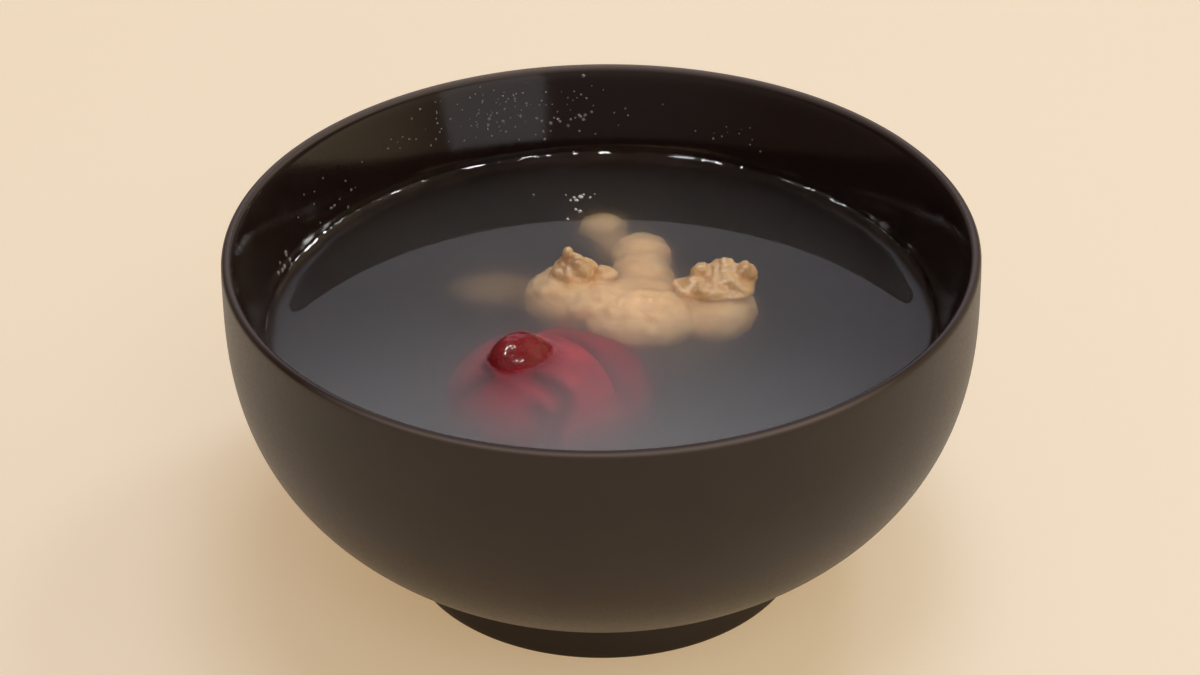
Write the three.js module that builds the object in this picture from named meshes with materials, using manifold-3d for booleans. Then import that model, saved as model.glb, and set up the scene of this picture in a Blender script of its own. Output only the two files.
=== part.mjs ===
// Miso soup in a turned bowl: the bowl, the soup, a pickled plum and a lump of miso paste.
// Millimetres, +Z up. The origin is the middle of the foot's underside, on the table.

import * as THREE from 'three';
import { mergeVertices } from 'three/addons/utils/BufferGeometryUtils.js';
import Module from 'manifold-3d';

const wasm = await Module();
wasm.setup();

// Driving dimensions of the bowl
const bowlHeight = 57;
const bellyRadius = 59.2;      // the outside at its widest, just under the rim
const bellyHeight = 51;
const bellyDrop = 51.1;        // from the widest height down to where the outer curve would close
const bellySquareness = 2.63;
const undersideRoundness = 1.86;
const lipRadius = 0.85;        // the rim is a round bead of this radius
const footRadius = 32.1;
const footHeight = 6.4;
const footRingWidth = 4.1;
const footEdge = 0.5;
const recessDepth = 5.2;
const hollowRadius = 52.9;     // the inside at the height where the wall starts to flare
const hollowTop = 44;
const hollowDepth = 32;
const hollowSquareness = 2.5;
const hollowRoundness = 2.1;
const flareCurve = 1.15;       // above 1 the flare starts upright
const shoulderHeight = 53.5;   // one more ring of the outer wall, between its widest and the lip

// Driving dimensions of what the bowl holds
const soupLevel = 41.9;
const gap = 0.3;               // between one solid and the next
const wallClearance = 2;       // between the wall and what may stand out of the soup
const plumCentre = new THREE.Vector3(-8.2, -7.2, 25.6);
const plumRadii = new THREE.Vector3(16.3, 16.2, 12.85);

const roundSegments = 64;
const curveSteps = 9;
const lipSteps = 4;

// A closed triangle mesh as a solid that can be joined and cut
function solid(geometry) {
  geometry.deleteAttribute('normal');
  geometry.deleteAttribute('uv');
  const merged = mergeVertices(geometry);
  const corners = merged.index.array;
  const triangles = [];
  for (let i = 0; i < corners.length; i += 3) {
    const [a, b, c] = corners.subarray(i, i + 3);
    const hasArea = a !== b && b !== c && c !== a;
    if (hasArea) triangles.push(a, b, c);
  }
  return new wasm.Manifold(new wasm.Mesh({
    numProp: 3,
    vertProperties: new Float32Array(merged.attributes.position.array),
    triVerts: new Uint32Array(triangles),
  }));
}

// The largest connected body of a solid, as a drawable geometry
function largestBody(shape) {
  const bodies = shape.decompose().sort((a, b) => b.volume() - a.volume());
  const mesh = bodies[0].getMesh();
  const geometry = new THREE.BufferGeometry();
  geometry.setAttribute('position', new THREE.BufferAttribute(mesh.vertProperties, 3));
  geometry.setIndex(new THREE.BufferAttribute(mesh.triVerts, 1));
  geometry.computeVertexNormals();
  return geometry;
}

// A profile of (radius, height) points turned about the Z axis
function turned(profile) {
  const geometry = new THREE.LatheGeometry(profile, roundSegments);
  geometry.rotateX(Math.PI / 2);
  return solid(geometry);
}

function point(radius, height) {
  return new THREE.Vector2(radius, height);
}

// count + 1 heights from start to end, drawn together where the curve closes
function heights(start, end, count) {
  return Array.from({ length: count + 1 }, (_, i) => {
    const share = Math.sin((i / count) * Math.PI / 2);
    return start + (end - start) * share;
  });
}

// Outer wall: r = R (1 - (drop / D)^a)^(1/b), a full curve that tucks in under the belly
function outerRadius(height) {
  const drop = Math.abs(bellyHeight - height) / bellyDrop;
  return bellyRadius * (1 - drop ** bellySquareness) ** (1 / undersideRoundness);
}

// The hollow's floor and side, the same kind of curve, drawn in by an inset
function hollowSide(inset) {
  const depth = hollowDepth - inset;
  const radius = hollowRadius - inset;
  return heights(0, 1, curveSteps).map((share) => {
    const side = (1 - share ** hollowSquareness) ** (1 / hollowRoundness);
    return point(radius * side, hollowTop - depth * share);
  });
}

// Above the hollow's side the wall thins and flares out to the lip
function flare() {
  const lipHeight = bowlHeight - lipRadius;
  const lipInside = outerRadius(lipHeight) - 2 * lipRadius;
  return [0.75, 0.5, 0.25].map((share) => point(
    hollowRadius + (lipInside - hollowRadius) * share ** flareCurve,
    hollowTop + (lipHeight - hollowTop) * share,
  ));
}

// Half a circle from the outer wall over to the inner one
function lip() {
  const height = bowlHeight - lipRadius;
  const centre = outerRadius(height) - lipRadius;
  return Array.from({ length: lipSteps + 1 }, (_, i) => {
    const turn = (i / lipSteps) * Math.PI;
    return point(centre + lipRadius * Math.cos(turn), height + lipRadius * Math.sin(turn));
  });
}

function makeBowl() {
  const footInside = footRadius - footRingWidth;
  const footTop = outerRadius(footHeight);
  const underside = [
    point(0, recessDepth),
    point(footInside - 2 * footEdge, recessDepth),
    point(footInside, recessDepth - 2 * footEdge),
    point(footInside, 0),
    point(footRadius - footEdge, 0),
    point(footRadius, footEdge),
    point(footTop, footHeight - footEdge),
  ];
  const outside = [...heights(bellyHeight, footHeight, curveSteps).reverse(), shoulderHeight];
  const wall = outside.map((height) => point(outerRadius(height), height));
  return turned([...underside, ...wall, ...lip(), ...flare(), ...hollowSide(0)]);
}

// What the bowl can hold below a height, with a gap to the bowl
function filling(top) {
  const side = hollowSide(gap).filter((p) => p.y < top).reverse();
  const share = (hollowTop - top) / (hollowDepth - gap);
  const radius = (hollowRadius - gap) * (1 - share ** hollowSquareness) ** (1 / hollowRoundness);
  return turned([...side, point(radius, top), point(0, top)]);
}

// The room above a height, a cone kept clear of the wall
function roomAbove(height) {
  return turned([point(0, height), point(hollowRadius - wallClearance, height), point(0, 2 * bowlHeight)]);
}

// A ball whose surface lies at reach(direction) from its centre
function blob(centre, detail, reach) {
  const geometry = new THREE.IcosahedronGeometry(1, detail);
  const position = geometry.attributes.position;
  const spot = new THREE.Vector3();
  for (let i = 0; i < position.count; i += 1) {
    spot.fromBufferAttribute(position, i).normalize();
    spot.multiplyScalar(reach(spot.clone())).add(centre);
    position.setXYZ(i, spot.x, spot.y, spot.z);
  }
  return solid(geometry);
}

function ellipsoidReach(direction, radii) {
  return 1 / direction.clone().divide(radii).length();
}

// A place on the plum, as a direction from its centre
function plumSpot(x, y, z) {
  return new THREE.Vector3(x, y, z).sub(plumCentre).normalize();
}

// The plum's shoulder and the knob on it that stands out of the soup
const plumSwells = [
  { towards: plumSpot(-11.5, -8.2, 39.1), height: 2.8, width: 0.75 },
  { towards: plumSpot(-15.9, -10.6, 42), height: 3.2, width: 0.25 },
  { towards: plumSpot(-12.2, -6.8, 42), height: 3.1, width: 0.25 },
  { towards: plumSpot(-11, -22, 32.1), height: 0.9, width: 0.5 },
  { towards: plumSpot(3, 0.5, 35.1), height: 1, width: 0.4 },
];

// Folds in the skin, each a furrow from one place to another by way of a third
const plumFolds = [
  { path: [[-10, -14.5, 40.5], [-5.6, -18.3, 37.9], [-7.2, -21.5, 33]], depth: 2, width: 0.09 },
  { path: [[-5, 0.5, 38.6], [1.6, -8.6, 36], [4, -14.5, 31]], depth: 1.8, width: 0.09 },
  { path: [[-10.4, -19.3, 35.9], [-8.9, -21.9, 30.9], [-7.5, -22.5, 24.9]], depth: 1.1, width: 0.08 },
  { path: [[-18.7, -12.4, 39.4], [-20.8, -12.3, 35.9], [-24, -11.6, 29.9]], depth: 1, width: 0.09 },
  { path: [[-12, 1.5, 37.1], [-10, 6.5, 31.1], [-12, 7.5, 19.1]], depth: 1.2, width: 0.1 },
].map((fold) => ({
  ...fold,
  course: new THREE.CatmullRomCurve3(fold.path.map((place) => plumSpot(...place))).getPoints(12),
}));

function plumReach(direction) {
  let reach = ellipsoidReach(direction, plumRadii);
  for (const swell of plumSwells) {
    const angle = direction.angleTo(swell.towards) / swell.width;
    reach += swell.height * Math.exp(-angle * angle);
  }
  for (const fold of plumFolds) {
    const nearest = Math.min(...fold.course.map((place) => direction.distanceTo(place)));
    reach -= fold.depth * Math.exp(-((nearest / fold.width) ** 2));
  }
  return reach;
}

function makePlum(grow, detail) {
  return blob(plumCentre, detail, (direction) => plumReach(direction) + grow);
}

// The lump of paste is clods pressed together: [place], [half sizes] and mesh detail.
// It stands on the bowl's floor. Only the two crags reach the air, and the saddle lies just under it.
const clods = [
  { at: [6, 13, 19.1], size: [15, 9.5, 9], detail: 1 }, // the foot on the bowl's floor
  { at: [5.8, 13.1, 29.1], size: [15.8, 8.3, 10.5], detail: 2 }, // the heap
  { at: [-5.2, 15, 34.1], size: [7.3, 7.2, 7.4], detail: 2 }, // left shoulder
  { at: [17.8, 10.8, 34.1], size: [7.2, 8.6, 6.8], detail: 2 }, // right shoulder
  { at: [6.4, 7.2, 35], size: [9.4, 7.4, 6.75], detail: 2 }, // front of the saddle
  { at: [0.6, 10.6, 36.1], size: [6.6, 5.8, 5.1], detail: 2 }, // left of the saddle
  { at: [-4.6, 16.3, 40.2], size: [3.8, 3.5, 3.7], detail: 3 }, // left crag
  { at: [-5.4, 16.4, 43.8], size: [1.2, 1.2, 2.4], detail: 1 },
  { at: [-3.9, 15.4, 43.9], size: [1.2, 1.2, 1.5], detail: 1 },
  { at: [-2.8, 15.7, 42.5], size: [2, 2, 1.9], detail: 1 },
  { at: [-6.9, 15.6, 41.8], size: [1.5, 1.6, 1.6], detail: 1 },
  { at: [0.2, 16.2, 40.6], size: [2.2, 2, 1.8], detail: 1 },
  { at: [19.6, 12.9, 40.2], size: [5.3, 4.2, 3.8], detail: 3 }, // right crag
  { at: [16, 13.7, 42.4], size: [2, 1.9, 2], detail: 1 },
  { at: [19.3, 14.1, 42.8], size: [2.4, 2, 2.1], detail: 1 },
  { at: [22.7, 13.5, 42.4], size: [2.2, 2.1, 2.3], detail: 1 },
  { at: [17.6, 9.6, 41.2], size: [3.2, 2.5, 2.1], detail: 1 },
  { at: [21.6, 10, 41], size: [2.8, 2.3, 2], detail: 1 },
  { at: [14.6, 12.2, 40.4], size: [3, 2.8, 2.3], detail: 1 },
  { at: [6.4, 20.5, 33.8], size: [5.2, 7.2, 5.8], detail: 2 }, // neck to the sunk lobe
  { at: [6.6, 27.2, 34.3], size: [5, 5.8, 5], detail: 2 }, // the sunk lobe at the back
];
const crumbRelief = 0.15;
const crumbPitch = 4.4;

// Uneven crumbs: waves along three slanted directions, multiplied so that no row lines up
function crumb(spot) {
  const turn = (2 * Math.PI) / crumbPitch;
  const first = Math.sin(turn * (spot.x + 0.35 * spot.y));
  const second = Math.sin(turn * (spot.y * 1.13 - 0.4 * spot.z) + 1);
  const third = Math.sin(turn * (spot.z * 0.91 + 0.3 * spot.x) + 2);
  return crumbRelief * (first * second + third * first + second * third);
}

function makeClod({ at, size, detail }, grow) {
  const centre = new THREE.Vector3(...at);
  const radii = new THREE.Vector3(...size);
  return blob(centre, detail, (direction) => {
    const reach = ellipsoidReach(direction, radii);
    const spot = direction.clone().multiplyScalar(reach).add(centre);
    return reach + crumb(spot) + grow;
  });
}

function makePaste(grow) {
  const parts = clods.map((clod) => makeClod(clod, grow));
  return parts.reduce((whole, part) => whole.add(part));
}

const plumDetail = 7;
const bowl = makeBowl();
const plum = makePlum(0, plumDetail);
const room = filling(hollowTop).add(roomAbove(soupLevel));
const paste = makePaste(0).subtract(makePlum(gap, plumDetail)).intersect(room);
const soup = filling(soupLevel).subtract(makePlum(gap, plumDetail)).subtract(makePaste(gap));

function finish(color, roughness, metalness = 0) {
  return new THREE.MeshStandardMaterial({ color, roughness, metalness });
}

function piece(name, shape, material) {
  const mesh = new THREE.Mesh(largestBody(shape), material);
  mesh.name = name;
  return mesh;
}

const misoSoup = new THREE.Group();
misoSoup.add(
  piece('bowl', bowl, finish(0x2e2420, 0.5)),
  piece('soup', soup, finish(0x4a4645, 0.08)),
  piece('pickled_plum', plum, finish(0x8e2a26, 0.3)),
  piece('miso_paste', paste, finish(0xc9a177, 0.6)),
);

export default misoSoup;
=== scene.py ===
"""Miso soup with a pickled plum and a lump of miso paste, in a dark lacquered bowl."""
from math import cos, pi, radians, sin

import bpy
import numpy as np
from mathutils import Matrix, Vector


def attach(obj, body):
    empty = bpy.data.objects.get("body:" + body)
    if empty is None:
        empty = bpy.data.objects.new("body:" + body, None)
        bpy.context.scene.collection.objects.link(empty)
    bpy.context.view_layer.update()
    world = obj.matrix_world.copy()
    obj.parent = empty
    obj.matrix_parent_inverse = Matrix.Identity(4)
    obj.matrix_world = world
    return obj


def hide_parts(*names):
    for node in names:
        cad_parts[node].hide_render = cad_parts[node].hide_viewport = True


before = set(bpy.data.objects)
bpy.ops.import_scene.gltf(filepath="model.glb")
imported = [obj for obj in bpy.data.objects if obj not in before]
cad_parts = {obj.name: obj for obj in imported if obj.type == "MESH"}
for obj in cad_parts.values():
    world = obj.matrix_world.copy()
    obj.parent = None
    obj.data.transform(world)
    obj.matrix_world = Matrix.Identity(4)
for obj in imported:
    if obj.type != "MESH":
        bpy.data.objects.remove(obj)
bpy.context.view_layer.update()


# ---- The bowl ----
# One piece of close-grained wood, turned on a lathe with its ring foot, full belly and thin round lip.
# It is lacquered dark brown, satin on the outside and polished in the hollow, which flares towards the lip.

BOWL_HEIGHT = 0.057
BELLY_RADIUS = 0.0592
BELLY_HEIGHT = 0.051
BELLY_DROP = 0.0511
BELLY_SQUARENESS = 2.63
UNDERSIDE_ROUNDNESS = 1.86
LIP_RADIUS = 0.00085
FOOT_RADIUS = 0.0321
FOOT_HEIGHT = 0.0064
FOOT_RING_WIDTH = 0.0041
FOOT_EDGE = 0.0005
RECESS_DEPTH = 0.0052
HOLLOW_RADIUS = 0.0529
HOLLOW_TOP = 0.044
HOLLOW_DEPTH = 0.032
HOLLOW_SQUARENESS = 2.5
HOLLOW_ROUNDNESS = 2.1
FLARE_CURVE = 1.15
AROUND = 288
LIP_STEPS = 13

SATIN = ((0.018, 0.0095, 0.0056), (0.026, 0.014, 0.0083))
POLISHED = ((0.012, 0.0064, 0.0055), (0.017, 0.0088, 0.0075))
# The greyish colour of the painted highlight along the lip
RUBBED = (0.185, 0.157, 0.15)
SATIN_ROUGHNESS = (0.34, 0.43)
POLISHING = 0.28
LACQUER_GRAIN = 0.000004

# Across the lip, in steps of its arc from the outer side: where the polish begins and is full, and the
# middle and half width of two bands of painted highlight. FRONT_STRETCH says how far forward the outer band
# begins.
POLISHED_STEPS = (4, 12)
TOP_BAND = (7, 4.0)
OUTER_BAND = (3.1, 1.5)
FRONT_STRETCH = (0.62, 0.9)
# How much of the lip's painted highlight the sides keep, and the least it falls to anywhere
SIDE_WEAR = 0.3
LEAST_WEAR = 0.06


def outer_radius(height):
    """Outer wall: r = R (1 - (drop / D)^a)^(1/b), with the drop measured from the belly's height."""
    drop = np.abs(BELLY_HEIGHT - height) / BELLY_DROP
    return BELLY_RADIUS * (1 - drop ** BELLY_SQUARENESS) ** (1 / UNDERSIDE_ROUNDNESS)


def hollow_side(share):
    """The hollow's side and floor, the same kind of curve: share is 0 at its top and 1 in the middle."""
    side = (1 - share ** HOLLOW_SQUARENESS) ** (1 / HOLLOW_ROUNDNESS)
    return np.stack([HOLLOW_RADIUS * side, HOLLOW_TOP - HOLLOW_DEPTH * share], -1)


LIP_HEIGHT = BOWL_HEIGHT - LIP_RADIUS
LIP_MIDDLE = outer_radius(LIP_HEIGHT) - LIP_RADIUS


def flare_side(share):
    """Above the hollow the wall thins and flares out: share is 0 at the hollow's top and 1 at the lip."""
    out = (LIP_MIDDLE - LIP_RADIUS - HOLLOW_RADIUS) * share ** FLARE_CURVE
    return np.stack([HOLLOW_RADIUS + out, HOLLOW_TOP + (LIP_HEIGHT - HOLLOW_TOP) * share], -1)


def arc(centre, radius, start, end, count):
    """count points of a circle in the (radius, height) plane, from one angle to the other."""
    turn = np.linspace(start, end, count)
    return np.stack([centre[0] + radius * np.cos(turn), centre[1] + radius * np.sin(turn)], -1)


def turned(profile, around=AROUND):
    """A profile of (radius, height) points turned about the Z axis: a grid of rings, each anticlockwise."""
    turn = np.arange(around) * 2 * pi / around
    radius, height = profile[:, :1], profile[:, 1:]
    return np.stack([radius * np.cos(turn), radius * np.sin(turn), height + 0 * turn], -1)


def closed_grid(rings):
    """The points, quads and triangles of a closed skin, from a grid of rings that run from pole to pole.
    Quads join each ring to the next. The first and last rings are drawn to a point that a fan closes."""
    count, around, _ = rings.shape
    poles = rings[[0, -1]].mean(1)
    points = np.concatenate([poles[:1], rings[1:-1].reshape(-1, 3), poles[1:]])
    ring = np.arange(around)
    ahead = np.roll(ring, -1)
    first = 1 + around * np.arange(count - 3)[:, None]
    quads = np.stack([first + ring, first + ahead, first + around + ahead, first + around + ring], -1)
    last = len(points) - 1
    low_fan = np.stack([0 * ring, 1 + ahead, 1 + ring], -1)
    high_fan = np.stack([last + 0 * ring, last - around + ring, last - around + ahead], -1)
    return points, quads.reshape(-1, 4), np.concatenate([low_fan, high_fan])


def meshed_piece(name, points, quads, triangles, material):
    """A smooth object of one material, from its corner points and its faces."""
    mesh = bpy.data.meshes.new(name)
    mesh.from_pydata(points.tolist(), [], [*quads.tolist(), *triangles.tolist()])
    mesh.polygons.foreach_set("use_smooth", np.ones(len(mesh.polygons), bool))
    mesh.materials.append(material)
    piece = bpy.data.objects.new(name, mesh)
    bpy.context.collection.objects.link(piece)
    return piece


def ringed_piece(name, rings, material):
    """A smooth object whose closed skin is given as a grid of rings."""
    return meshed_piece(name, *closed_grid(rings), material)


def mark(piece, name, values):
    """One number per corner point, kept with the mesh for its material to read."""
    piece.data.attributes.new(name, "FLOAT", "POINT").data.foreach_set("value", values.astype(np.float32))


def point_positions(piece):
    """Where the piece's corner points are: one row of x, y and z for each."""
    positions = np.empty(3 * len(piece.data.vertices), np.float32)
    piece.data.vertices.foreach_get("co", positions)
    return positions.reshape(-1, 3).astype(float)


def unit(vectors):
    """The same directions, each of length 1."""
    return vectors / np.linalg.norm(vectors, axis=-1, keepdims=True)


def fade(value, start, end):
    """A smooth step: 0 before start, 1 after end."""
    share = np.clip((value - start) / (end - start), 0, 1)
    return share * share * (3 - 2 * share)


def put(piece, slot, *nodes):
    """Stands the piece on the table with the CAD model, in place of its solid where it has one."""
    if nodes:
        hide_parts(*nodes)
    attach(piece, "root")


def principled(name, **sockets):
    """A material whose Principled BSDF has the given constant values, and that shader's node."""
    material = bpy.data.materials.new(name)
    material.use_nodes = True
    shader = material.node_tree.nodes["Principled BSDF"]
    for socket, value in sockets.items():
        shader.inputs[socket.replace("_", " ")].default_value = value
    return material, shader


def add_node(tree, kind, **settings):
    """A node of the given kind, with its properties and, by name, its input values."""
    made = tree.nodes.new(kind)
    for name, value in settings.items():
        if hasattr(made, name):
            setattr(made, name, value)
        else:
            made.inputs[name.replace("_", " ")].default_value = value
    return made


def mixed(tree, share, first, second, blend="MIX"):
    """A colour between two: share is a socket, and each colour is a socket or a constant."""
    mix = add_node(tree, "ShaderNodeMix", data_type="RGBA", blend_type=blend)
    tree.links.new(share, mix.inputs["Factor"])
    slots = [socket for socket in mix.inputs if socket.type == "RGBA"]
    for slot, colour in zip(slots, (first, second)):
        if isinstance(colour, bpy.types.NodeSocket):
            tree.links.new(colour, slot)
        else:
            slot.default_value = (*colour, 1)
    return next(socket for socket in mix.outputs if socket.type == "RGBA")


def ranged(tree, value, low, high, start=0.0, end=1.0):
    """A value carried from the range start..end to low..high, and held there beyond it."""
    step = add_node(tree, "ShaderNodeMapRange")
    for name, number in {"From Min": start, "From Max": end, "To Min": low, "To Max": high}.items():
        step.inputs[name].default_value = number
    tree.links.new(value, step.inputs["Value"])
    return step.outputs["Result"]


def blotched(tree, blotch, colours, edge=0.35):
    """The first of two colours where the blotch is low and the second where it is high, soft in between."""
    return mixed(tree, ranged(tree, blotch, 0, 1, edge, 1 - edge), *colours)


def marked(tree, name):
    """The value that mark() kept under this name."""
    return add_node(tree, "ShaderNodeAttribute", attribute_name=name).outputs["Fac"]


# Broad soft blotches and a fine grain: natural finishes are never one flat colour
mottling = bpy.data.node_groups.new("mottling", "ShaderNodeTree")
mottling.interface.new_socket("Position", in_out="INPUT", socket_type="NodeSocketVector")
mottling.interface.new_socket("Blotches per metre", in_out="INPUT", socket_type="NodeSocketFloat")
mottling.interface.new_socket("Grains per metre", in_out="INPUT", socket_type="NodeSocketFloat")
mottling.interface.new_socket("Blotch", in_out="OUTPUT", socket_type="NodeSocketFloat")
mottling.interface.new_socket("Grain", in_out="OUTPUT", socket_type="NodeSocketFloat")
group_in = mottling.nodes.new("NodeGroupInput")
group_out = mottling.nodes.new("NodeGroupOutput")
for rate, result, detail in (("Blotches per metre", "Blotch", 3.0), ("Grains per metre", "Grain", 4.0)):
    clouds = add_node(mottling, "ShaderNodeTexNoise", Detail=detail, Roughness=0.6)
    mottling.links.new(group_in.outputs["Position"], clouds.inputs["Vector"])
    mottling.links.new(group_in.outputs[rate], clouds.inputs["Scale"])
    mottling.links.new(clouds.outputs[0], group_out.inputs[result])


def mottled(tree, blotches, grains):
    """The mottling group on the piece's own position: its blotch and grain, each from 0 to 1."""
    place = add_node(tree, "ShaderNodeTexCoord")
    group = add_node(tree, "ShaderNodeGroup", node_tree=mottling)
    group.inputs["Blotches per metre"].default_value = blotches
    group.inputs["Grains per metre"].default_value = grains
    tree.links.new(place.outputs["Object"], group.inputs["Position"])
    return group.outputs["Blotch"], group.outputs["Grain"]


def bumped(tree, shader, height, depth):
    """Fine relief on the shader's normal, depth metres from its lowest to its highest."""
    bump = add_node(tree, "ShaderNodeBump", Strength=1.0, Distance=depth)
    tree.links.new(height, bump.inputs["Height"])
    tree.links.new(bump.outputs["Normal"], shader.inputs["Normal"])


foot_inside = FOOT_RADIUS - FOOT_RING_WIDTH
foot_top = outer_radius(FOOT_HEIGHT)
recess_fillet = 2 * FOOT_EDGE
underside = np.concatenate([
    np.stack([np.linspace(0, foot_inside - recess_fillet, 8), np.full(8, RECESS_DEPTH)], -1),
    arc((foot_inside - recess_fillet, RECESS_DEPTH - recess_fillet), recess_fillet, pi / 2, 0, 7),
    arc((foot_inside + FOOT_EDGE, FOOT_EDGE), FOOT_EDGE, pi, 3 * pi / 2, 6),
    arc((FOOT_RADIUS - FOOT_EDGE, FOOT_EDGE), FOOT_EDGE, -pi / 2, 0, 6),
    np.stack([np.linspace(FOOT_RADIUS, foot_top, 8)[1:-1],
              np.linspace(FOOT_EDGE, FOOT_HEIGHT, 8)[1:-1]], -1),
])
wall_heights = np.concatenate([
    BELLY_HEIGHT - (BELLY_HEIGHT - FOOT_HEIGHT) * np.sin(np.linspace(1, 0, 72) * pi / 2),
    np.linspace(BELLY_HEIGHT, LIP_HEIGHT, 8)[1:-1],
])
bowl_profile = np.concatenate([
    underside,
    np.stack([outer_radius(wall_heights), wall_heights], -1),
    arc((LIP_MIDDLE, LIP_HEIGHT), LIP_RADIUS, 0, pi, LIP_STEPS),
    flare_side(np.linspace(1, 0, 26)[1:-1]),
    hollow_side(np.sin(np.linspace(0, pi / 2, 60))),
])

lacquer, lacquer_shader = principled("dark_lacquer", IOR=1.45)
tree = lacquer.node_tree
blotch, grain = mottled(tree, blotches=90.0, grains=1800.0)
satin = blotched(tree, blotch, SATIN, 0.3)
polished = blotched(tree, blotch, POLISHED, 0.3)
coat = mixed(tree, marked(tree, "hollow"), satin, polished)
# Painted highlight: a lighter greyish colour is laid over the lip
worn_coat = mixed(tree, marked(tree, "rubbed"), coat, RUBBED)
tree.links.new(worn_coat, lacquer_shader.inputs["Base Color"])
polish = add_node(tree, "ShaderNodeMath", operation="MULTIPLY_ADD")
tree.links.new(marked(tree, "hollow"), polish.inputs[0])
polish.inputs[1].default_value = -POLISHING
tree.links.new(ranged(tree, grain, *SATIN_ROUGHNESS, 0.3, 0.7), polish.inputs[2])
tree.links.new(polish.outputs[0], lacquer_shader.inputs["Roughness"])
bumped(tree, lacquer_shader, grain, LACQUER_GRAIN)


def worn_band(step, middle, width):
    """Painted highlight across the lip, a bell: 1 in the band's middle, dying away to both sides."""
    return np.exp(-((step - middle) / width) ** 2)


bowl = ringed_piece("lacquered_bowl", turned(bowl_profile), lacquer)
last_ring = len(bowl_profile) - 1
ring_of_point = np.concatenate([[0], np.repeat(np.arange(1, last_ring), AROUND), [last_ring]])
lip_step = ring_of_point - (len(underside) + len(wall_heights))
mark(bowl, "hollow", fade(lip_step, *POLISHED_STEPS))

# Painted highlight on the lip, where it catches the light: strong over its top at the back, faint at the
# sides, and just outside its top at the front
behind = unit(point_positions(bowl)[:, :2] + 1e-9)[:, 1]
share_worn = (SIDE_WEAR + (1 - SIDE_WEAR) * behind * np.abs(behind)).clip(LEAST_WEAR)
top_wear = share_worn * worn_band(lip_step, *TOP_BAND)
outer_wear = worn_band(lip_step, *OUTER_BAND)
mark(bowl, "rubbed", top_wear + fade(-behind, *FRONT_STRETCH) * (outer_wear - top_wear))
put(bowl, "bowl", "bowl")


# ---- The pickled plum ----
# A whole plum, dried, salted and coloured with red leaf: soft skin in long folds over a stone.
# It lies on the bowl's floor, and only a knob of its shoulder stands out of the soup, wet and glossy.

SOUP_LEVEL = 0.0419
PLUM_CENTRE = np.array([-0.0082, -0.0072, 0.0256])
PLUM_RADII = np.array([0.0163, 0.0162, 0.01285])

FLESH = ((0.25, 0.009, 0.017), (0.36, 0.019, 0.032))
# Painted shade: the darker red laid in the skin's furrows and in a band just under the waterline
DARK_FOLD = (0.13, 0.007, 0.010)
SKIN_ROUGHNESS = (0.16, 0.30)
SKIN_GLOSS = 0.9
SKIN_GRAIN = 0.00025
WRINKLE_PITCH = 0.0016
SUNK_WRINKLES = 0.00006
AIR_WRINKLES = 0.00020
# Width and drop of the painted shade band just under the waterline, below the knob
WATERLINE_WIDTH = 0.0011
WATERLINE_DROP = 0.7
DARKENED_WIDTH = 1.2
PLUM_ROWS = 200
PLUM_AROUND = 300


def ball_directions(rows, around):
    """Unit directions on a ball, row by row from straight down to straight up."""
    tilt = np.linspace(-pi / 2, pi / 2, rows)
    return turned(np.stack([np.cos(tilt), np.sin(tilt)], -1), around)


def plum_spot(x, y, z):
    """A place on the plum, as a direction from its centre."""
    return unit(np.array([x, y, z]) - PLUM_CENTRE)


# Each swell's middle, height and half width as an angle
PLUM_SWELLS = [
    (plum_spot(-0.0115, -0.0082, 0.0391), 0.0028, 0.75),
    (plum_spot(-0.0159, -0.0106, 0.0420), 0.0032, 0.25),
    (plum_spot(-0.0122, -0.0068, 0.0420), 0.0031, 0.25),
    (plum_spot(-0.0110, -0.0220, 0.0321), 0.0009, 0.50),
    (plum_spot(0.0030, 0.0005, 0.0351), 0.0010, 0.40),
]
# Each fold's start, middle and end, its depth, and its half width as an angle
PLUM_FOLDS = [
    ([(-0.0100, -0.0145, 0.0405), (-0.0056, -0.0183, 0.0379), (-0.0072, -0.0215, 0.0330)], 0.0020, 0.09),
    ([(-0.0050, 0.0005, 0.0386), (0.0016, -0.0086, 0.0360), (0.0040, -0.0145, 0.0310)], 0.0018, 0.09),
    ([(-0.0104, -0.0193, 0.0359), (-0.0089, -0.0219, 0.0309), (-0.0075, -0.0225, 0.0249)], 0.0011, 0.08),
    ([(-0.0187, -0.0124, 0.0394), (-0.0208, -0.0123, 0.0359), (-0.0240, -0.0116, 0.0299)], 0.0010, 0.09),
    ([(-0.0120, 0.0015, 0.0371), (-0.0100, 0.0065, 0.0311), (-0.0120, 0.0075, 0.0191)], 0.0012, 0.10),
]


def fold_course(places, steps=80):
    """A smooth course over the plum: the parabola through three places, as directions."""
    t = np.linspace(0, 1, steps)[:, None]
    a, b, c = (plum_spot(*place) for place in places)
    return unit(a * (1 - t) * (1 - 2 * t) + b * 4 * t * (1 - t) + c * t * (2 * t - 1))


def fold_share(direction, places, width):
    """1 in the middle of a furrow, dying away as a bell across it."""
    nearest = np.full(direction.shape[:-1], -1.0)
    for spot in fold_course(places):
        nearest = np.maximum(nearest, direction @ spot)
    return np.exp(-(2 - 2 * nearest) / width ** 2)


def plum_reach(direction):
    """How far the skin lies from the centre: an ellipsoid, raised by bell-shaped swells, cut by furrows."""
    reach = 1 / np.linalg.norm(direction / PLUM_RADII, axis=-1)
    for towards, height, width in PLUM_SWELLS:
        angle = np.arccos(np.clip(direction @ towards, -1, 1))
        reach = reach + height * np.exp(-((angle / width) ** 2))
    for places, depth, width in PLUM_FOLDS:
        reach = reach - depth * fold_share(direction, places, width)
    return reach


def lumps(points, pitch, seed):
    """Value noise from -1 to 1: random heights on a cubic grid of this pitch, smoothly blended between."""
    heights = np.random.default_rng(seed).uniform(-1, 1, (16, 16, 16))
    cell = points / pitch
    corner = np.floor(cell).astype(int)
    share = cell - corner
    share = share * share * (3 - 2 * share)
    total = 0
    for side in np.ndindex(2, 2, 2):
        near = np.where(side, share, 1 - share).prod(-1)
        x, y, z = np.moveaxis((corner + side) % 16, -1, 0)
        total = total + near * heights[x, y, z]
    return total


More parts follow.
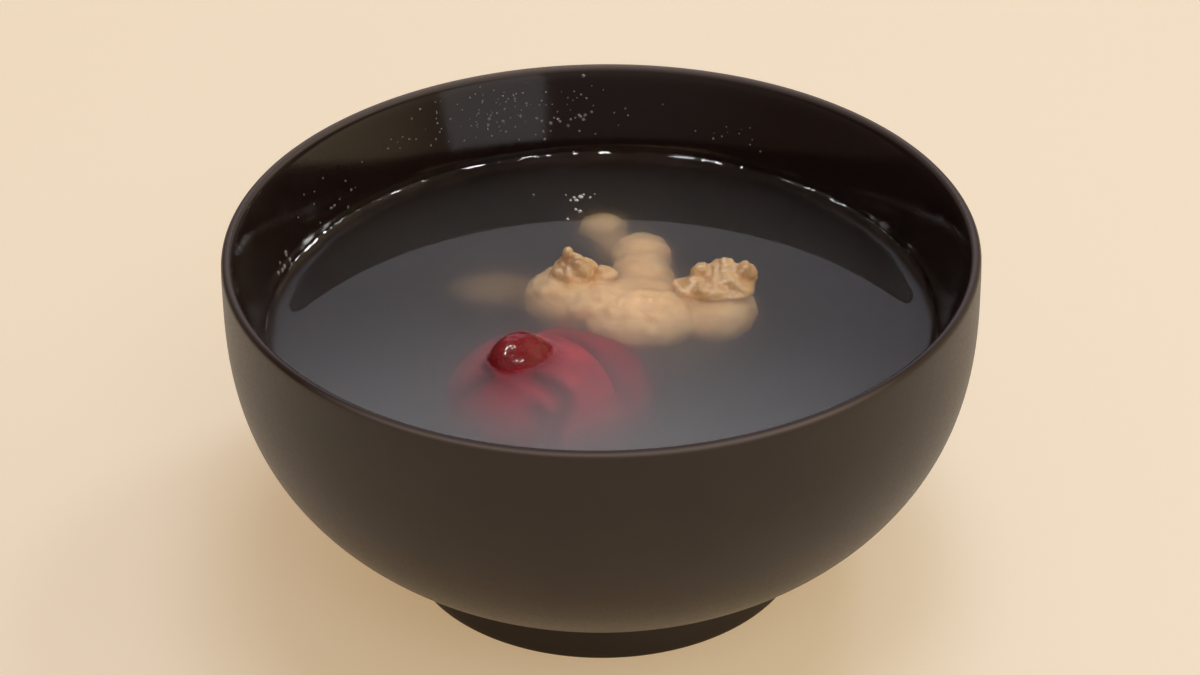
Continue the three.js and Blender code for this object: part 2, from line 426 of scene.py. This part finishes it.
plum_skin, plum_shader = principled(
    "plum_skin", IOR=1.12, Coat_Roughness=0.04,
    Subsurface_Weight=0.25, Subsurface_Scale=0.003, Subsurface_Radius=(1.0, 0.25, 0.2))
tree = plum_skin.node_tree
blotch, grain = mottled(tree, blotches=260.0, grains=1500.0)
# Painted shade: the skin is darker in its furrows and in a band just under the waterline
folded_skin = mixed(tree, marked(tree, "fold"), blotched(tree, blotch, FLESH), DARK_FOLD)
tree.links.new(folded_skin, plum_shader.inputs["Base Color"])
tree.links.new(ranged(tree, grain, *SKIN_ROUGHNESS, 0.3, 0.7), plum_shader.inputs["Roughness"])
tree.links.new(ranged(tree, marked(tree, "sunk"), SKIN_GLOSS, 0.0), plum_shader.inputs["Coat Weight"])
bumped(tree, plum_shader, grain, SKIN_GRAIN)

plum_directions = ball_directions(PLUM_ROWS, PLUM_AROUND)
plum_points = PLUM_CENTRE + plum_directions * plum_reach(plum_directions)[..., None]
long_wrinkles = np.abs(lumps(plum_points * (1, 1, 0.45), WRINKLE_PITCH, 11))
fine_wrinkles = np.abs(lumps(plum_points, WRINKLE_PITCH / 2, 12))
in_air = fade(plum_points[..., 2], SOUP_LEVEL - 0.0012, SOUP_LEVEL + 0.0004)
wrinkle_height = (SUNK_WRINKLES + AIR_WRINKLES * in_air) * (0.5 - (long_wrinkles + 0.5 * fine_wrinkles))
plum_points = plum_points + plum_directions * wrinkle_height[..., None]
plum = ringed_piece("plum", plum_points, plum_skin)

skin_points = point_positions(plum)
skin_direction = unit(skin_points - PLUM_CENTRE)
skin_height = skin_points[:, 2]
# Painted shade: a dark band just under the waterline and darker furrows, as the mask that the skin's shade
# colour reads
waterline = np.exp(-(((skin_height - SOUP_LEVEL) / WATERLINE_WIDTH + WATERLINE_DROP) ** 2))
mark(plum, "fold", 0.3 * waterline + sum(
    fold_share(skin_direction, places, DARKENED_WIDTH * width) for places, _, width in PLUM_FOLDS))
mark(plum, "sunk", fade(skin_height, SOUP_LEVEL + 0.0002, SOUP_LEVEL - 0.0004))
put(plum, "plum", "pickled_plum")


# ---- The lump of miso paste ----
# Soybean paste dropped in with a spoon: clods pressed together, moist and crumbly, not yet stirred in.
# It stands on the bowl's floor, with two crags in the air and a saddle between them just under the surface.

# Each clod's middle and its three radii
CLODS = [
    ((0.0060, 0.0130, 0.0191), (0.0150, 0.0095, 0.0090)),
    ((0.0058, 0.0131, 0.0291), (0.0158, 0.0083, 0.0105)),
    ((-0.0052, 0.0150, 0.0341), (0.0073, 0.0072, 0.0074)),
    ((0.0178, 0.0108, 0.0341), (0.0072, 0.0086, 0.0068)),
    ((0.0064, 0.0072, 0.0350), (0.0094, 0.0074, 0.00675)),
    ((0.0006, 0.0106, 0.0361), (0.0066, 0.0058, 0.0051)),
    ((-0.0046, 0.0163, 0.0402), (0.0038, 0.0035, 0.0037)),
    ((-0.0054, 0.0164, 0.0438), (0.0012, 0.0012, 0.0024)),
    ((-0.0052, 0.0162, 0.0430), (0.0019, 0.0017, 0.0016)),
    ((-0.0039, 0.0154, 0.0439), (0.0012, 0.0012, 0.0015)),
    ((-0.0028, 0.0157, 0.0425), (0.0020, 0.0020, 0.0019)),
    ((-0.0069, 0.0156, 0.0418), (0.0015, 0.0016, 0.0016)),
    ((0.0002, 0.0162, 0.0406), (0.0022, 0.0020, 0.0018)),
    ((0.0196, 0.0129, 0.0402), (0.0053, 0.0042, 0.0038)),
    ((0.0160, 0.0137, 0.0424), (0.0020, 0.0019, 0.0020)),
    ((0.0193, 0.0141, 0.0428), (0.0024, 0.0020, 0.0021)),
    ((0.0227, 0.0135, 0.0424), (0.0022, 0.0021, 0.0023)),
    ((0.0176, 0.0096, 0.0412), (0.0032, 0.0025, 0.0021)),
    ((0.0216, 0.0100, 0.0410), (0.0028, 0.0023, 0.0020)),
    ((0.0146, 0.0122, 0.0404), (0.0030, 0.0028, 0.0023)),
    ((0.0064, 0.0205, 0.0338), (0.0052, 0.0072, 0.0058)),
    ((0.0066, 0.0272, 0.0343), (0.0050, 0.0058, 0.0050)),
]
SUNK_CLODS = [
    ((0.0004, 0.0390, 0.0306), (0.0040, 0.0040, 0.0040)),
    ((0.0030, 0.0345, 0.0278), (0.0040, 0.0040, 0.0040)),
    ((-0.0178, 0.0262, 0.0228), (0.0068, 0.0050, 0.0030)),
]
CLOD_WAVE = 0.00015
CLOD_WAVE_PITCH = 0.0044

MASH = ((0.86, 0.57, 0.30), (0.93, 0.67, 0.385))
FLECK = (0.80, 0.52, 0.27)
# Painted shade: the darker colour laid in the creases between the crumbs
CREASE = (0.78, 0.50, 0.27)
# Painted shade: the paste under the broth is multiplied by this to darken it
SUNK_TINT = (0.84, 0.83, 0.80)
PASTE_ROUGHNESS = (0.32, 0.6)
MOIST_GLOSS = 0.6
PASTE_GRAIN = 0.00016

# The crumbs' height and pitch, from coarse to fine, in the air and on the clods that lie wholly in the broth
CRUMBS = ((0.00060, 0.0026), (0.00036, 0.0013), (0.00012, 0.0006))
SOFT_CRUMBS = ((0.00040, 0.0021), (0.00020, 0.0011))
SUNK_STRENGTH = 0.22
LUMP_VOXEL = 0.00028
SUNK_VOXEL = 0.0004


def clod_wave(spot):
    """Uneven crumbs: waves along three slanted directions, multiplied so that no row lines up."""
    x, y, z = np.moveaxis(spot * 2 * pi / CLOD_WAVE_PITCH, -1, 0)
    first = np.sin(x + 0.35 * y)
    second = np.sin(1.13 * y - 0.4 * z + 1)
    third = np.sin(0.91 * z + 0.3 * x + 2)
    return CLOD_WAVE * (first * second + third * first + second * third)


def clod_rings(centre, radii, rows=40, around=64):
    """An ellipsoid whose surface is moved out and in by the crumbs."""
    direction = ball_directions(rows, around)
    reach = 1 / np.linalg.norm(direction / radii, axis=-1)
    reach = reach + clod_wave(direction * reach[..., None] + centre)
    return centre + direction * reach[..., None]


def pressed_lump(name, clods, material, voxel):
    """Clods joined under one skin, which a remesh at the voxel's size lays over them."""
    pieces = [ringed_piece("clod", clod_rings(np.array(middle), np.array(radii)), material)
              for middle, radii in clods]
    with bpy.context.temp_override(active_object=pieces[0], selected_editable_objects=pieces):
        bpy.ops.object.join()
    lump = pieces[0]
    lump.name = name
    skin_over = lump.modifiers.new("press_together", "REMESH")
    skin_over.mode = "VOXEL"
    skin_over.voxel_size = voxel
    skin_over.use_smooth_shade = True
    skinned = lump.evaluated_get(bpy.context.evaluated_depsgraph_get())
    pressed = bpy.data.meshes.new_from_object(skinned)
    lump.modifiers.clear()
    lump.data = pressed
    return lump


def crumble(lump, crumbs):
    """Billowed noise of several pitches moves the skin along its normals: round crumbs with creases between.
    It is strongest in the air, because broth softens what lies in it."""
    points = point_positions(lump)
    normals = np.empty(points.size, np.float32)
    lump.data.vertex_normals.foreach_get("vector", normals)
    in_air = fade(points[:, 2], SOUP_LEVEL - 0.0015, SOUP_LEVEL + 0.0008)
    strength = SUNK_STRENGTH + (1 - SUNK_STRENGTH) * in_air
    relief = sum(height * (np.abs(lumps(points, pitch, 20 + i)) - 0.3)
                 for i, (height, pitch) in enumerate(crumbs))
    points = points + normals.reshape(-1, 3) * (relief * strength)[:, None]
    lump.data.vertices.foreach_set("co", points.astype(np.float32).ravel())
    lump.data.update()
    # The mask of painted shade, high in the creases between the crumbs
    mark(lump, "crease", np.clip(0.5 - relief / 0.0003, 0, 1))
    mark(lump, "sunk", fade(points[:, 2], SOUP_LEVEL + 0.0004, SOUP_LEVEL - 0.0006))


paste_crumb, paste_shader = principled(
    "miso_paste_crumb", IOR=1.12, Coat_Roughness=0.25,
    Subsurface_Weight=0.2, Subsurface_Scale=0.002, Subsurface_Radius=(1.0, 0.55, 0.3))
tree = paste_crumb.node_tree
blotch, grain = mottled(tree, blotches=220.0, grains=1700.0)
mash = blotched(tree, blotch, MASH)
flecked = ranged(tree, grain, low=0, high=0.5, start=0.56, end=0.72)
mash = mixed(tree, flecked, mash, FLECK)
# Painted shade: darker in the creases between the crumbs
creased = ranged(tree, marked(tree, "crease"), low=0, high=0.6, start=0.4, end=1.0)
mash = mixed(tree, creased, mash, CREASE)
# Painted shade: the clods under the broth are darkened
mash = mixed(tree, marked(tree, "sunk"), mash, SUNK_TINT, "MULTIPLY")
tree.links.new(mash, paste_shader.inputs["Base Color"])
tree.links.new(ranged(tree, grain, *PASTE_ROUGHNESS, 0.35, 0.65), paste_shader.inputs["Roughness"])
tree.links.new(ranged(tree, marked(tree, "sunk"), MOIST_GLOSS, 0.0), paste_shader.inputs["Coat Weight"])
bumped(tree, paste_shader, grain, PASTE_GRAIN)

paste = pressed_lump("miso_paste_lump", CLODS, paste_crumb, LUMP_VOXEL)
crumble(paste, CRUMBS)
put(paste, "paste", "miso_paste")
sunk_paste = pressed_lump("sunk_paste", SUNK_CLODS, paste_crumb, SUNK_VOXEL)
crumble(sunk_paste, SOFT_CRUMBS)
put(sunk_paste, "paste")


# ---- The soup ----
# Thin broth with a little paste stirred into it: dark, slightly cloudy, with a smooth wet surface.
# It climbs a little at the bowl's wall, and lies almost flat everywhere else.

WALL_RISE = 0.0015
WALL_RISE_WIDTH = 0.00095
INTO_WALL = 0.0001
SWELL_HEIGHT = 0.000006
SWELL_PITCH = 0.009
RIPPLE_HEIGHT = 0.00007
RIPPLE_PITCH = 0.0017
RIPPLE_MIDDLE = (-0.0038, 0.0400)
RIPPLE_REACH = (0.0026, 0.0045)
SOUP_AROUND = 480
BOTTOM_RINGS = 30
SIDE_RINGS = 3
TOP_RINGS = 150
CROWDING = 1.8

SURFACE_ROUGHNESS = 0.02
BROTH_TINT = (0.52, 0.49, 0.47, 1)
BROTH_DEPTH = 9.0
HAZE_TINT = (0.97, 0.98, 1, 1)
HAZE = ((185.0, 0.95), (1.5, 0.1))


def from_wall(x, y):
    """Distance to the wall, a little uneven, as wet lacquer draws the broth up more in some places."""
    turn = np.arctan2(y, x)
    uneven = 0.00012 * np.sin(13 * turn + 1) + 0.00009 * np.sin(29 * turn + 2) + 0.00005 * np.sin(47 * turn)
    return HOLLOW_RADIUS - np.hypot(x, y) + uneven


def soup_rise(x, y):
    """How far the surface stands above its level: it climbs at the wall, dying away over a few millimetres,
    and it carries a few slow swells and one small patch of ripples."""
    spots = np.stack([x, y, np.full_like(x, SOUP_LEVEL)], -1)
    climb = WALL_RISE * np.exp(-np.clip(from_wall(x, y), 0, None) / WALL_RISE_WIDTH)
    swell = SWELL_HEIGHT * lumps(spots, SWELL_PITCH, 31) * (1 - (np.hypot(x, y) / HOLLOW_RADIUS) ** 8)
    from_middle = (np.stack([x, y], -1) - RIPPLE_MIDDLE) / RIPPLE_REACH
    near = np.exp(-(from_middle ** 2).sum(-1))
    return climb + swell + RIPPLE_HEIGHT * lumps(spots, RIPPLE_PITCH, 32) * near


widened = (1 + INTO_WALL / HOLLOW_RADIUS, 1)
soup_bottom = hollow_side(np.sin(np.linspace(pi / 2, 0.06, BOTTOM_RINGS))) * widened - (0, INTO_WALL)
side_heights = np.linspace(soup_bottom[-1, 1], SOUP_LEVEL + WALL_RISE, 1 + SIDE_RINGS)[1:]
top_radii = HOLLOW_RADIUS * (1 - np.linspace(0, 1, TOP_RINGS) ** CROWDING)
soup_points = turned(np.concatenate([
    soup_bottom,
    np.stack([np.full(SIDE_RINGS, HOLLOW_RADIUS + INTO_WALL), side_heights], -1),
    np.stack([top_radii, np.full(TOP_RINGS, SOUP_LEVEL)], -1),
]), SOUP_AROUND)
soup_top = soup_points[-TOP_RINGS:]
soup_top[..., 2] += soup_rise(soup_top[..., 0], soup_top[..., 1])

broth, broth_shader = principled(
    "broth", Base_Color=(1, 1, 1, 1), IOR=1.333, Transmission_Weight=1.0)
tree = broth.node_tree

# From below the surface is quite smooth, and to the lamps it is clear, so they light what lies in the broth
from_below = add_node(tree, "ShaderNodeNewGeometry").outputs["Backfacing"]
tree.links.new(ranged(tree, from_below, SURFACE_ROUGHNESS, 0.0), broth_shader.inputs["Roughness"])
output = tree.nodes["Material Output"]
path = add_node(tree, "ShaderNodeLightPath")
clear = add_node(tree, "ShaderNodeBsdfTransparent")
lamp_way = add_node(tree, "ShaderNodeMixShader")
tree.links.new(path.outputs["Is Shadow Ray"], lamp_way.inputs[0])
tree.links.new(broth_shader.outputs[0], lamp_way.inputs[1])
tree.links.new(clear.outputs[0], lamp_way.inputs[2])
tree.links.new(lamp_way.outputs[0], output.inputs["Surface"])

# Fine paste hanging in the broth sends most light on ahead, and a little of it to all sides
volume = add_node(tree, "ShaderNodeVolumeAbsorption", Color=BROTH_TINT, Density=BROTH_DEPTH).outputs[0]
for density, forwards in HAZE:
    haze = add_node(tree, "ShaderNodeVolumeScatter", Color=HAZE_TINT, Density=density, Anisotropy=forwards)
    added = add_node(tree, "ShaderNodeAddShader")
    tree.links.new(volume, added.inputs[0])
    tree.links.new(haze.outputs[0], added.inputs[1])
    volume = added.outputs[0]
tree.links.new(volume, output.inputs["Volume"])

soup = ringed_piece("soup_liquid", soup_points, broth)
put(soup, "broth", "soup")


# ---- Condensation on the bowl's wall ----
# Steam from the soup has settled on the cool lacquer as fine beads of water, thickest at the back left,
# with a few larger ones on the lip and along the soup's edge.

# Each patch: how many beads, their middle angle and its spread, middle height and its spread, and size
BEAD_PATCHES = [
    (110, 1.93, 0.22, 0.0515, 0.0022, 0.00016),
    (26, 1.72, 0.10, 0.0490, 0.0016, 0.00024),
    (12, 1.14, 0.05, 0.0482, 0.0010, 0.00016),
    (14, 2.55, 0.10, 0.0485, 0.0022, 0.00018),
    (9, 2.86, 0.03, 0.0450, 0.0006, 0.00036),
    (3, 1.62, 0.03, 0.0560, 0.0003, 0.00026),
]
BEAD_FLATNESS = 0.55
LOWEST_BEAD = SOUP_LEVEL + 0.0014
HIGHEST_BEAD = LIP_HEIGHT - 0.0006


def wall_radius(height):
    """The polished wall's radius at a height above the soup, from the flare's formula."""
    share = np.clip((height - HOLLOW_TOP) / (LIP_HEIGHT - HOLLOW_TOP), 0, 1)
    return flare_side(share)[:, 0]


draw = np.random.default_rng(7)
beads = np.concatenate([
    np.stack([draw.normal(turn, spread, count), draw.normal(height, rise, count),
              size * draw.uniform(0.6, 1.4, count)], -1)
    for count, turn, spread, height, rise, size in BEAD_PATCHES])
beads[:, 1] = np.clip(beads[:, 1], LOWEST_BEAD, HIGHEST_BEAD)

# Painted highlight: the beads' pale white share stands in for the glints on their wet surface
water, _ = principled(
    "condensed_water", Base_Color=(0.9, 0.9, 0.92, 1), Roughness=0.05, IOR=1.333, Transmission_Weight=0.7)


def scattered_balls(name, middles, axes, material, rows=7, around=10):
    """One small closed ball per middle, each stretched along its own three axes."""
    points, quads, triangles = closed_grid(ball_directions(rows, around))
    starts = (len(points) * np.arange(len(middles)))[:, None, None]
    return meshed_piece(name, (middles[:, None] + points @ axes).reshape(-1, 3),
                        (starts + quads).reshape(-1, 4), (starts + triangles).reshape(-1, 3), material)


turn, height, size = beads[:, 0], beads[:, 1], beads[:, 2]
radius = wall_radius(height)
middles = np.stack([radius * np.cos(turn), radius * np.sin(turn), height], -1)
inward = np.stack([-np.cos(turn), -np.sin(turn), 0 * turn], -1)
upward = np.broadcast_to((0.0, 0.0, 1.0), inward.shape)
axes = np.stack([BEAD_FLATNESS * inward, np.cross(upward, inward), upward], 1) * size[:, None, None]
condensation = scattered_balls("condensation", middles, axes, water)
put(condensation, "broth")


# ---- Bubbles ----
# A few tiny bubbles of air that the poured soup has left, drifting in a loose ring near the far wall.
# Each is a low dome of broth on the surface, about half a millimetre wide, painted near white as its
# highlight.

# Each bubble's place on the surface and its radius
BUBBLES = np.array([
    (-0.0033, 0.0399, 0.00046), (-0.0044, 0.0397, 0.00030), (-0.0040, 0.0388, 0.00036),
    (-0.0050, 0.0388, 0.00024), (-0.0017, 0.0397, 0.00024), (-0.0058, 0.0406, 0.00016),
    (-0.0010, 0.0408, 0.00016), (-0.0041, 0.0358, 0.00028), (-0.0034, 0.0352, 0.00034),
    (-0.0055, 0.0327, 0.00026), (-0.0112, 0.0408, 0.00020), (-0.0028, 0.0407, 0.00022),
])
BUBBLE_HEIGHT = 0.8
# Painted highlight: the near-white colours that stand in for the bubbles' glints
FROTH = ((0.80, 0.82, 0.87), (0.97, 0.98, 1.0))

# The bubbles' near-white, mostly opaque colour is painted highlight
froth, froth_shader = principled(
    "froth", Base_Color=(0.93, 0.94, 0.97, 1), Roughness=0.08, IOR=1.333, Transmission_Weight=0.15)
tree = froth.node_tree
blotch, _ = mottled(tree, blotches=900.0, grains=4000.0)
tree.links.new(blotched(tree, blotch, FROTH, 0.4), froth_shader.inputs["Base Color"])

resting = np.column_stack([BUBBLES[:, :2], np.full(len(BUBBLES), SOUP_LEVEL)])
domes = BUBBLES[:, 2, None, None] * np.diag((1, 1, BUBBLE_HEIGHT))
bubbles = scattered_balls("bubbles", resting, domes, froth, 13, 20)
put(bubbles, "broth")


# ---- Floor, lamps and camera ----
# A plain cream floor that glows a little, a pale room, and lamps above, behind and in front of the bowl.
# The camera looks down on the bowl at 31 degrees through a long lens.

FLOOR_REACH = 3.0

# Broad lights of the room: the way each lies, the cosine where it begins, and its colour
ROOM = [
    ((0, 0, 1), -2, (0.21, 0.143, 0.102)),
    ((0, 0.83, 0.56), 0.85, (0.50, 0.53, 0.66)),
    ((0.95, 0.1, 0.25), 0.6, (0.70, 0.56, 0.35)),
    ((0, -0.9, 0.4), 0.5, (0.08, 0.08, 0.09)),
]

floor_paint, _ = principled(
    "cream_floor", Base_Color=(0.73, 0.78, 0.77, 1), Roughness=0.8,
    Emission_Color=(0.41, 0.28, 0.145, 1), Emission_Strength=1.0)
floor_mesh = bpy.data.meshes.new("floor")
floor_mesh.from_pydata([(-FLOOR_REACH, -FLOOR_REACH, 0), (FLOOR_REACH, -FLOOR_REACH, 0),
                        (FLOOR_REACH, FLOOR_REACH, 0), (-FLOOR_REACH, FLOOR_REACH, 0)], [], [(0, 1, 2, 3)])
floor_mesh.materials.append(floor_paint)
floor = bpy.data.objects.new("floor", floor_mesh)
bpy.context.collection.objects.link(floor)

scene = bpy.context.scene
world = bpy.data.worlds.new("pale_room")
world.use_nodes = True
scene.world = world
tree = world.node_tree
background = tree.nodes["Background"]
towards = add_node(tree, "ShaderNodeTexCoord")
light = None
one = add_node(tree, "ShaderNodeValue")
one.outputs[0].default_value = 1
for direction, start, colour in ROOM:
    facing = add_node(tree, "ShaderNodeVectorMath", operation="DOT_PRODUCT")
    facing.inputs[1].default_value = Vector(direction).normalized()
    tree.links.new(towards.outputs["Generated"], facing.inputs[0])
    share = add_node(tree, "ShaderNodeMapRange", interpolation_type="SMOOTHSTEP")
    share.inputs["From Min"].default_value = start
    tree.links.new(facing.outputs["Value"], share.inputs["Value"])
    lobe = mixed(tree, share.outputs["Result"], (0, 0, 0), colour)
    light = lobe if light is None else mixed(tree, one.outputs[0], light, lobe, "ADD")
tree.links.new(light, background.inputs["Color"])


def lamp(name, place, size, radiance):
    """A rectangular lamp that faces the bowl. Its power is pi times its radiance times its area."""
    data = bpy.data.lights.new(name, "AREA")
    data.shape = "RECTANGLE"
    data.size, data.size_y = size
    data.energy = pi * radiance * size[0] * size[1]
    made = bpy.data.objects.new(name, data)
    place = Vector(place)
    made.matrix_world = Matrix.Translation(place) @ place.to_track_quat("Z", "Y").to_matrix().to_4x4()
    bpy.context.collection.objects.link(made)
    return made


# Small lamps that the soup's climbing edge mirrors to the camera, as dashes along it: each one's angle
# round the bowl in degrees, its width and its radiance. They are aimed by where the edge leans by EDGE_LEAN
# radians, for a camera that looks along VIEW.
EDGE_LEAN = 0.873
VIEW = np.array([0.0, 0.857, -0.515])
GLINT_DISTANCE = 1.2
GLINT_HEIGHT = 0.22
GLINTS = [
    (20, 0.025, 25), (31, 0.02, 20), (35, 0.02, 20), (46, 0.05, 35), (51.5, 0.06, 40), (61, 0.02, 25),
    (68, 0.07, 45), (75, 0.08, 25), (84, 0.02, 20), (88, 0.02, 30), (94.5, 0.035, 50), (98.5, 0.045, 50),
    (104.3, 0.055, 50), (114.5, 0.06, 50), (124, 0.055, 45), (132, 0.02, 25), (140, 0.05, 12),
    (146, 0.05, 35), (153, 0.07, 40), (162, 0.05, 30),
]

overhead = lamp("overhead", (0.1, 0.1, 1.3), size=(0.5, 0.5), radiance=4.3)
room_side = lamp("room_side", (0.2, -0.9, 0.9), size=(0.5, 0.5), radiance=1.7)
high_window = lamp("high_window", (0.60, 0.40, 1.05), size=(0.24, 0.24), radiance=8)
for soft in (overhead, room_side, high_window):
    soft.visible_glossy = False

# The low window behind the bowl lights the haze in the broth, and the front card the outside of the bowl
low_window = lamp("low_window", (0.15, 1.1, 0.27), size=(1.5, 0.24), radiance=255)
low_window.visible_glossy = False
low_window.visible_diffuse = False
low_window.visible_transmission = False
front_card = lamp("front_card", (0.68, -1.0, 0.29), size=(0.72, 0.42), radiance=0.77)
front_card.visible_transmission = False

wet = bpy.data.collections.new("wet")
for piece in (soup, condensation, bubbles):
    wet.objects.link(piece)
for number, (turn, width, radiance) in enumerate(GLINTS):
    turn = radians(turn)
    edge_faces = np.array([-sin(EDGE_LEAN) * cos(turn), -sin(EDGE_LEAN) * sin(turn), cos(EDGE_LEAN)])
    mirrored = VIEW - 2 * (VIEW @ edge_faces) * edge_faces
    glint = lamp(f"glint_{number}", GLINT_DISTANCE * mirrored, (width, GLINT_HEIGHT), radiance)
    glint.light_linking.receiver_collection = wet
    glint.visible_diffuse = False
    glint.visible_volume_scatter = False
    glint.visible_transmission = False

# Small bright lamps overhead that sparkle on the wet plum and the moist paste
SPARKLES = [
    (-0.30, 0.0), (-0.05, 0.12), (0.22, 0.05), (0.40, -0.25), (-0.20, -0.45), (0.10, -0.40), (-0.42, -0.30),
]
SPARKLE_HEIGHT = 1.1
SPARKLE_SIZE = (0.06, 0.06)
SPARKLE_RADIANCE = 150
moist = bpy.data.collections.new("moist")
for piece in (plum, paste):
    moist.objects.link(piece)
for number, (x, y) in enumerate(SPARKLES):
    sparkle = lamp(f"sparkle_{number}", (x, y, SPARKLE_HEIGHT), SPARKLE_SIZE, SPARKLE_RADIANCE)
    sparkle.light_linking.receiver_collection = moist
    sparkle.visible_diffuse = False
    sparkle.visible_transmission = False

RIM_PLANE = 0.0567
VIEW_DISTANCE = 0.59
VIEW_ELEVATION = 0.5397
VIEW_PITCH = 0.0248
VIEW_ROLL = -0.0121
VIEW_YAW = 0.00065
LENS = 113.5
camera_data = bpy.data.cameras.new("camera")
camera_data.lens = LENS
camera_data.sensor_width = 36
camera_data.clip_start = 0.01
camera = bpy.data.objects.new("camera", camera_data)
camera_height = RIM_PLANE + VIEW_DISTANCE * sin(VIEW_ELEVATION)
camera_place = Matrix.Translation((0, -VIEW_DISTANCE * cos(VIEW_ELEVATION), camera_height))
camera.matrix_world = (camera_place @ Matrix.Rotation(VIEW_YAW, 4, "Z")
                       @ Matrix.Rotation(pi / 2 - VIEW_ELEVATION - VIEW_PITCH, 4, "X")
                       @ Matrix.Rotation(VIEW_ROLL, 4, "Z"))
bpy.context.collection.objects.link(camera)
scene.camera = camera
scene.view_settings.view_transform = "Standard"
scene.cycles.volume_bounces = 8
